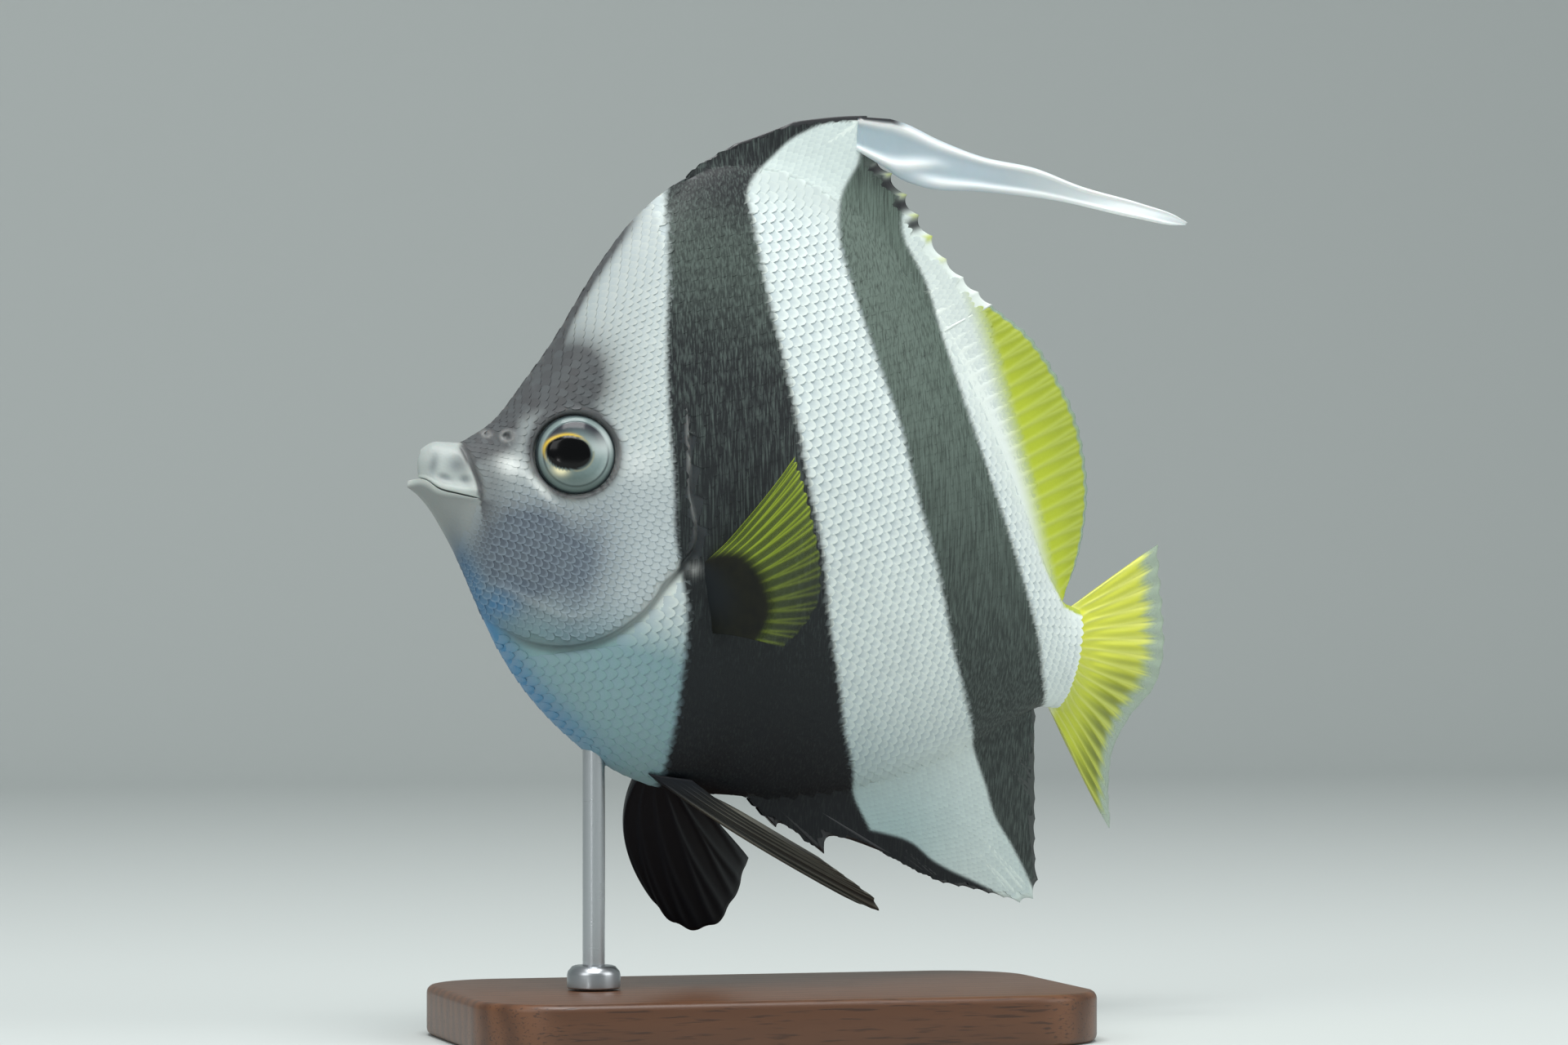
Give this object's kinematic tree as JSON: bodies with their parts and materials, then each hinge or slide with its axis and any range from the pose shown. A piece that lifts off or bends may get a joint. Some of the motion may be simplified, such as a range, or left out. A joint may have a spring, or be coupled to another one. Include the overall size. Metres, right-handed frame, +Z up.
{
  "type": "pennant coralfish",
  "caption": "Still life-size model of a pennant coralfish: a tall, thin reef fish with dark bands, yellow fins and a long white streamer, held by a rod on a flat wooden base.",
  "frame": {"origin": "centre of the display base's underside, on the surface that the model stands on", "axes": "+Z up; the fish's head points along -X and its left side faces -Y"},
  "size_m": [0.1352, 0.0625, 0.1465],
  "materials": {
    "skin": "satin silver-white scaled skin with two charcoal bands",
    "eye": "glossy silver iris round a black pupil",
    "banded_fin": "satin fin skin, white with charcoal bands",
    "white_fin": "satin white, slightly translucent",
    "yellow_fin": "satin yellow-green with clear edges",
    "black_fin": "satin black",
    "base_wood": "oiled walnut",
    "rod_steel": "brushed"
  },
  "bodies": {
    "root": {"head": "skin", "upper_jaw": "skin", "lower_jaw": "skin", "gill_cover_left": "skin", "gill_cover_right": "skin", "trunk": "skin", "tail_root": "skin", "eye_left": "eye", "eye_right": "eye", "dorsal_fin_spines": "banded_fin", "pennant": "white_fin", "dorsal_fin_soft": "yellow_fin", "anal_fin": "banded_fin", "tail_fin": "yellow_fin", "pectoral_fin_left": "yellow_fin", "pectoral_fin_right": "yellow_fin", "pelvic_fin_left": "black_fin", "pelvic_fin_right": "black_fin", "stand_base": "base_wood", "stand_rod": "rod_steel", "stand_collar": "rod_steel"}
  },
  "joints": []
}
